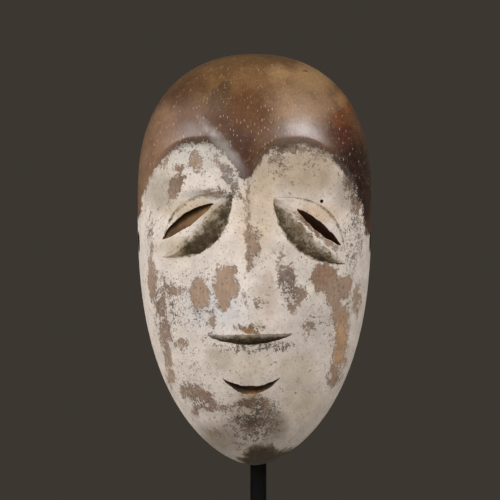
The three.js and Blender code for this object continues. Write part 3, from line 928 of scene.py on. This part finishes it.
def keep_attribute(piece, name, values):
    """Keeps one number or one colour for each point of a piece."""
    if values.ndim == 1:
        layer = piece.data.attributes.new(name, "FLOAT", "POINT")
        layer.data.foreach_set("value", values.astype(np.float32))
    else:
        layer = piece.data.attributes.new(name, "FLOAT_COLOR", "POINT")
        values = np.column_stack([values, np.ones(len(values))])
        layer.data.foreach_set("color", values.astype(np.float32).ravel())


for name, values in {
    "kaolin": kaolin, "grit": grit, "dirt_and_shade": dirt_and_shade, "polish": polish, "flecks": flecks,
    "wood_colour": wood_colour, "kaolin_colour": kaolin_colour,
}.items():
    keep_attribute(mask, name, values)
print("attributes:", len(mask.data.attributes))

# %% [markdown]
# ## A material's nodes
# A material is a small circuit of nodes. One helper adds a node, sets it up and links its inputs. Patterns
# read Object coordinates, which are metres in the frame, so a pattern's scale is one over its real size.

# %% Helpers for materials
colour_mix = {"data_type": "RGBA", "output": 2}
colour_multiply = {**colour_mix, "blend_type": "MULTIPLY"}


def new_material(name):
    """A material without nodes, and the function that adds one to it."""
    material = bpy.data.materials.new(name)
    material.use_nodes = True
    tree = material.node_tree
    tree.nodes.clear()

    def add(kind, *values, sockets=None, output=0, **settings):
        """Adds a node and returns one of its outputs. The values go to its sockets in order, and sockets
        names the others. Each is a value or another node's output."""
        node = tree.nodes.new("ShaderNode" + kind)
        for name, value in settings.items():
            setattr(node, name, value)
        for key, value in {**dict(enumerate(values)), **(sockets or {})}.items():
            if isinstance(value, bpy.types.NodeSocket):
                tree.links.new(value, node.inputs[key])
            else:
                node.inputs[key].default_value = value
        return node.outputs[output] if node.outputs else None

    return material, add


def dress(piece, *materials):
    """Gives a piece its materials, in place of any that its making left behind."""
    piece.data.materials.clear()
    for material in materials:
        piece.data.materials.append(material)


def mm_scale(size):
    """The texture scale at which a pattern has features of a size in millimetres."""
    return 1 / (size * MM)


def colour(code):
    return (*hex_colour(code), 1)


# %% [markdown]
# ## Kaolin over oiled hardwood
# The forehead was oiled and rubbed for years, which left a dark patina with a low gloss, and pale clay in
# the open pores. On the face the kaolin is a thin matt crust. It flakes off in ragged edges, thins to a
# haze over the grain and holds dark specks of dirt. Both are one material, because the crust's edge runs
# finer than the mesh: the attributes say broadly where it lies, and fine noise breaks its edge up.

# %% Coordinates, attributes and noises
skin, add = new_material("kaolin_over_oiled_hardwood")
place = add("TexCoord", output="Object")
grain_place = add("Mapping", sockets={"Vector": place, "Scale": (1, 1, 0.3)})
pore_place = add("Mapping", sockets={"Vector": place, "Scale": (1, 1, 0.3), "Rotation": forwards})
kaolin_level, grit_level, dirt_and_shade_level, polish_level, fleck_level = (
    add("Attribute", attribute_name=name, output="Fac")
    for name in ("kaolin", "grit", "dirt_and_shade", "polish", "flecks")
)
wood_tint, kaolin_tint = (
    add("Attribute", attribute_name=name, output="Color") for name in ("wood_colour", "kaolin_colour")
)

# each noise's place, size, detail and roughness
grain, cloudy, broad, fine, salty, mottle, speckled = (
    add("TexNoise", sockets={"Vector": at, "Scale": mm_scale(size), "Detail": detail, "Roughness": rough})
    for at, size, detail, rough in (
        (grain_place, 0.7, 4, 0.6), (place, 7, 3, 0.5), (place, 2.2, 6, 0.72), (place, 0.8, 5, 0.8),
        (place, 0.75, 4, 0.75), (place, 5, 5, 0.65), (place, 0.8, 4, 0.5),
    )
)
print("nodes so far:", len(skin.node_tree.nodes))

# %% [markdown]
# ## Wood with open pores
# Fine noise, stretched along the grain, gives light and dark streaks, and broad noise gives clouds. Both
# multiply the colour that the mesh keeps. The pores are cells of a Voronoi pattern, seen from the front and
# stretched upwards, and each cell's own random value sets the size of its fleck.

# %% Oiled wood
grain_shade = add("MapRange", grain, 0.25, 0.75, 0.72, 1.28)
cloud_shade = add("MapRange", cloudy, 0.3, 0.7, 0.85, 1.15)
shade = add("Math", grain_shade, cloud_shade, operation="MULTIPLY")
wood = add("Mix", 1.0, sockets={6: wood_tint, 7: shade}, **colour_multiply)
pores = add("TexVoronoi", sockets={"Vector": pore_place, "Scale": mm_scale(1.2)}, voronoi_dimensions="2D")
pore_size = add("SeparateColor", pores.node.outputs["Color"])
pore_edge = add("Math", pore_size, 0.16, operation="MULTIPLY")
pore_dot = add("Math", pore_edge, pores, operation="SUBTRACT")
pore_dot = add("MapRange", pore_dot, 0.0, 0.05)
pore_mask = add("Math", pore_dot, fleck_level, operation="MULTIPLY")
wood = add("Mix", pore_mask, sockets={6: wood, 7: colour("#b4917a")}, **colour_mix)
print("nodes so far:", len(skin.node_tree.nodes))

# %% [markdown]
# ## The clay's ragged edge
# A broad and a fine noise are added to the level that the mesh keeps, and clay lies where the sum is above
# zero. That breaks up its edge more finely than the mesh could. A third noise, for the gritty zones, eats
# small holes in it. Just above zero the clay is thin, and the wood still shows through.

# %% Kaolin
both = add("Math", broad, fine, operation="ADD")
ragged = add("MapRange", both, 0.88, 1.12, -1.2, 1.2, clamp=False)
salt = add("MapRange", salty, 0.36, 0.64, -3.2, 3.2, clamp=False)
salt = add("Math", salt, grit_level, operation="MULTIPLY")
cover = add("Math", kaolin_level, ragged, operation="ADD")
cover = add("Math", cover, salt, operation="ADD")
coated = add("MapRange", cover, -0.06, 0.06)
thick = add("MapRange", cover, 0.0, 0.6, 0.62, 1.0)
hiding = add("Math", coated, thick, operation="MULTIPLY")
mottle_shade = add("MapRange", mottle, 0.3, 0.7, 0.84, 1.12)
clay = add("Mix", 1.0, sockets={6: kaolin_tint, 7: mottle_shade}, **colour_multiply)
surface = add("Mix", hiding, sockets={6: wood, 7: clay}, **colour_mix)
print("nodes so far:", len(skin.node_tree.nodes))

# %% [markdown]
# ## Specks, dirt and painted shade
# Small dark specks lie over wood and clay, more of them where the clay is gritty and none where the wood is
# polished. Dirt and painted shade start as a dusty tan and turn dark brown where they are thick.

# %% Specks, dirt and painted shade
speck_level = add("MapRange", grit_level, 0.0, 0.8, 0.0, 0.1)
speck_sum = add("Math", speckled, speck_level, operation="ADD")
specks = add("MapRange", speck_sum, 0.665, 0.725, 0.0, 0.75)
specks = add("Math", specks, polish_level, operation="SUBTRACT", use_clamp=True)
surface = add("Mix", specks, sockets={6: surface, 7: colour("#5a5048")}, **colour_mix)
dirt_and_shade_noise = add("Math", ragged, 0.15, operation="MULTIPLY")
dirt_and_shade_sum = add("Math", dirt_and_shade_level, dirt_and_shade_noise, operation="ADD")
dirt_and_shade_amount = add("MapRange", dirt_and_shade_sum, 0.12, 0.62, 0.0, 0.94)
deep_dirt_and_shade = add("MapRange", dirt_and_shade_sum, 0.4, 0.95)
dirt_and_shade_colour = add("Mix", deep_dirt_and_shade, sockets={6: colour("#827352"), 7: colour("#3b2c17")}, **colour_mix)
surface = add("Mix", dirt_and_shade_amount, sockets={6: surface, 7: dirt_and_shade_colour}, **colour_mix)
print("nodes so far:", len(skin.node_tree.nodes))

# %% [markdown]
# ## Gloss and relief
# Oiled wood shines, and clay, dirt and painted shade are matt, so a chain of mixes gives the roughness. The
# crust stands a little above the wood and the specks are pits in it. A bump is enough for heights of under
# 0.3 mm. The wax is the shader's own coat, and it lies on the polished wood alone.

# %% Gloss, relief and the shader
gloss_noise = add("MapRange", cloudy, 0.3, 0.7, 0.34, 0.44)
wood_rough = add("Mix", polish_level, sockets={2: 0.78, 3: gloss_noise})
rough = add("Mix", coated, sockets={2: wood_rough, 3: 0.88})
rough = add("Mix", dirt_and_shade_amount, sockets={2: rough, 3: 0.95})
crust = add("Math", coated, fine, 0.8, operation="MULTIPLY_ADD")
pitted = add("Math", crust, specks, operation="SUBTRACT")
grain_height = add("Math", grain, 0.12, operation="MULTIPLY")
height = add("Math", pitted, grain_height, operation="ADD")
bump = add("Bump", sockets={"Height": height, "Distance": 0.28 * MM})
wax = add("Math", polish_level, coated, operation="SUBTRACT", use_clamp=True)
shader = add("BsdfPrincipled", sockets={
    "Base Color": surface, "Roughness": rough, "IOR": 1.5, "Normal": bump,
    "Coat Weight": wax, "Coat Roughness": 0.3, "Coat Normal": bump,
})
add("OutputMaterial", shader)
print(skin.name, "has", len(skin.node_tree.nodes), "nodes")

# %% [markdown]
# ## Bare wood of the hollow
# The inside was hollowed with an adze and a hooked knife and never coated. It is the same hardwood gone
# dull brown with age. The narrow cord holes are made near-black, as painted shade of their deep insides.

# %% Hollow
raw, add = new_material("aged_bare_hardwood_of_the_hollow")
place = add("TexCoord", output="Object")
wood = add("Attribute", attribute_name="wood_colour", output="Color")
fibre_place = add("Mapping", sockets={"Vector": place, "Scale": (1, 1, 0.12)})
fibre = add("TexNoise", sockets={"Vector": fibre_place, "Scale": mm_scale(1.1), "Detail": 5})
fibre_shade = add("MapRange", fibre, 0.3, 0.7, 0.72, 1.25)
patchy = add("TexNoise", sockets={"Vector": place, "Scale": mm_scale(14), "Detail": 4})
patchy_shade = add("MapRange", patchy, 0.3, 0.7, 0.75, 1.2)
across, forward, _ = add("SeparateXYZ", place).node.outputs
from_middle = add("Math", across, operation="ABSOLUTE")
hole_start = (half_width - side_wall) * MM
at_side = add("MapRange", from_middle, hole_start, hole_start + 2 * MM)
hole_back = (rim_y - cord_hole_from_rim / 2) * MM
off_rim = add("MapRange", forward, hole_back, hole_back + 1 * MM, 1.0, 0.0)
in_hole = add("Math", at_side, off_rim, operation="MULTIPLY")
shade = add("Math", fibre_shade, patchy_shade, operation="MULTIPLY")
bare_wood = add("Mix", 1.0, sockets={6: wood, 7: shade}, **colour_multiply)
# Painted shade: the walls of the cord holes are made near-black for the dark inside of a deep, narrow hole.
bare_wood = add("Mix", in_hole, sockets={6: bare_wood, 7: colour("#0d0805")}, **colour_mix)
bump = add("Bump", sockets={"Height": fibre, "Distance": 0.25 * MM})
shader = add("BsdfPrincipled", sockets={"Base Color": bare_wood, "Roughness": 0.82, "Normal": bump})
add("OutputMaterial", shader)
dress(mask, skin, raw)
mask.data.polygons.foreach_set("material_index", raw_faces.astype(np.int32))
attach(mask, "root")
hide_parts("mask")
print(raw.name, "has", len(raw.node_tree.nodes), "nodes")

# %% [markdown]
# ## The rod and its foot
# The stand is a mount maker's work: a round steel rod, heated and turned over at its top, with a short
# bar brazed across its end. The elbow is spun round the bend's own centre, as the smith turns it, and the
# bar is joined to it with a Boolean union.

# %% Rod
rod_low, rod_high = (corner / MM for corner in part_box("mount_rod"))
rod_radius = 3
rod_bend = 8
bend_steps = 14
bar_radius = 2.5
rod_y = rod_high.y - rod_radius
bar_y = rod_low.y + bar_radius
bar_z = rod_high.z - rod_radius
bend_centre = Vector((0, rod_y - rod_bend, bar_z - rod_bend))
deselect_all()
bpy.ops.mesh.primitive_circle_add(
    vertices=round_sides, radius=rod_radius * MM, fill_type="NGON", location=(0, rod_y * MM, rod_low.z * MM),
)
rod = bpy.context.object
rod.name = "hooked_rod"
bpy.ops.object.transform_apply()
bpy.ops.object.mode_set(mode="EDIT")
straight = (0, 0, (bend_centre.z - rod_low.z) * MM)
bpy.ops.mesh.extrude_region_move(TRANSFORM_OT_translate={"value": straight})
bpy.ops.mesh.spin(steps=bend_steps, angle=math.radians(-90), center=bend_centre * MM, axis=(1, 0, 0))
forward = (0, (bar_y - bend_centre.y) * MM, 0)
bpy.ops.mesh.extrude_region_move(TRANSFORM_OT_translate={"value": forward})
bpy.ops.object.mode_set(mode="OBJECT")
outward(rod)
bar_length = rod_high.x - rod_low.x
carve(rod, cylinder((0, bar_y, bar_z), (bar_radius, bar_radius), bar_length, sideways), "UNION")
print("rod:", [round(v / MM, 1) for v in rod.dimensions], "mm")

# %% Foot with rounded corners and the rod's hole
foot_low, foot_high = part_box("foot")
foot_corner = 1.5
foot_edge = 0.8
hole_radius = rod_radius + 0.3
hole_depth = 9
close = 1e-3
steel_angle = 30


def bevel_edges(piece, chosen, width, segments):
    """Rounds the chosen edges of a piece."""
    select_only(piece, "EDGE", chosen)
    bpy.ops.mesh.bevel(offset=width * MM, segments=segments, affect="EDGES")
    bpy.ops.object.mode_set(mode="OBJECT")


deselect_all()
bpy.ops.mesh.primitive_cube_add(size=1, location=(foot_low + foot_high) / 2, scale=foot_high - foot_low)
foot = bpy.context.object
foot.name = "steel_foot"
bpy.ops.object.transform_apply()
upright = np.all(np.abs(np.diff(edge_ends(foot), axis=1))[:, 0, :2] < close, axis=1)
bevel_edges(foot, upright, foot_corner, 6)
for height in (foot_low.z / MM, foot_high.z / MM):
    flat = np.all(np.abs(edge_ends(foot)[:, :, 2] - height) < close, axis=1)
    bevel_edges(foot, flat, foot_edge, 3)
hole_top = (0, rod_y, foot_high.z / MM)
carve(foot, cylinder(hole_top, (hole_radius, hole_radius), 2 * hole_depth, (0, 0, 0)))
for piece in (rod, foot):
    smooth_shading(piece, steel_angle)
print("foot:", len(foot.data.polygons), "faces")

# %% [markdown]
# ## Satin black paint on steel
# Stoving paint levels itself as it cures and keeps a faint orange peel, so the gloss is soft but even.

# %% Black paint
paint, add = new_material("satin_black_stoved_paint")
place = add("TexCoord", output="Object")
peel = add("TexNoise", sockets={"Vector": place, "Scale": mm_scale(0.8), "Detail": 2})
dust = add("TexNoise", sockets={"Vector": place, "Scale": mm_scale(9), "Detail": 5})
dusty = add("MapRange", dust, 0.4, 0.75)
black = add("Mix", dusty, sockets={6: colour("#060708"), 7: colour("#0d0e0f")}, **colour_mix)
sheen = add("MapRange", dusty, 0.0, 1.0, 0.17, 0.22)
bump = add("Bump", sockets={"Height": peel, "Distance": 0.02 * MM, "Strength": 0.5})
shader = add("BsdfPrincipled", sockets={
    "Base Color": black, "Roughness": sheen, "IOR": 1.35, "Normal": bump,
})
add("OutputMaterial", shader)
for piece, node in ((rod, "mount_rod"), (foot, "foot")):
    dress(piece, paint)
    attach(piece, "root")
    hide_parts(node)
print(paint.name, "has", len(paint.node_tree.nodes), "nodes")

# %% [markdown]
# ## Floor and light
# Soft light comes from both sides and from slightly above. A large square lamp on the left is the key, and
# one on the right leaves a soft shine on the forehead. A broad lamp in front fills the shadows and one
# behind lights the floor. Neither of these two shows as a reflection.

# %% Floor
floor_radius = 0.34
deselect_all()
bpy.ops.mesh.primitive_circle_add(vertices=96, radius=floor_radius, fill_type="NGON", location=(0, 0, 0))
floor = bpy.context.object
floor.name = "floor"
floor_paint, add = new_material("pale_matt_floor_paint")
add("OutputMaterial", add("BsdfPrincipled", sockets={"Base Color": colour("#c8c4be"), "Roughness": 0.8}))
dress(floor, floor_paint)
print("floor:", 2 * floor_radius, "m wide")

# %% World and lamps
world = bpy.data.worlds.new("studio")
world.use_nodes = True
bpy.context.scene.world = world
backdrop = world.node_tree.nodes["Background"].inputs["Color"]
backdrop.default_value = (0.0450, 0.0383, 0.0312, 1)
lamp_target = Vector((0, 0, 0.135))
plain_lamps = ("front", "back")
for name, azimuth, height, distance, size, watts in (
    ("key_left", -69, 27, 0.9, 0.45, 6.7),
    ("front", 0, 35, 1.3, 0.9, 8.5),
    ("right", 54, 37, 0.9, 0.4, 5),
    ("back", 192, 6, 1.1, 0.8, 5),
):
    turn = math.radians(azimuth)
    climb = math.radians(height)
    away = Vector((math.sin(turn) * math.cos(climb), -math.cos(turn) * math.cos(climb), math.sin(climb)))
    light = bpy.data.lights.new(name, "AREA")
    light.shape = "SQUARE"
    light.size = size
    light.energy = watts
    source = bpy.data.objects.new(name, light)
    source.location = lamp_target + away * distance
    source.rotation_euler = (-away).to_track_quat("-Z", "Y").to_euler()
    source.visible_camera = False
    source.visible_glossy = name not in plain_lamps
    bpy.context.scene.collection.objects.link(source)
bpy.context.scene.view_settings.view_transform = "Standard"
print("lamps:", len(bpy.data.lights))
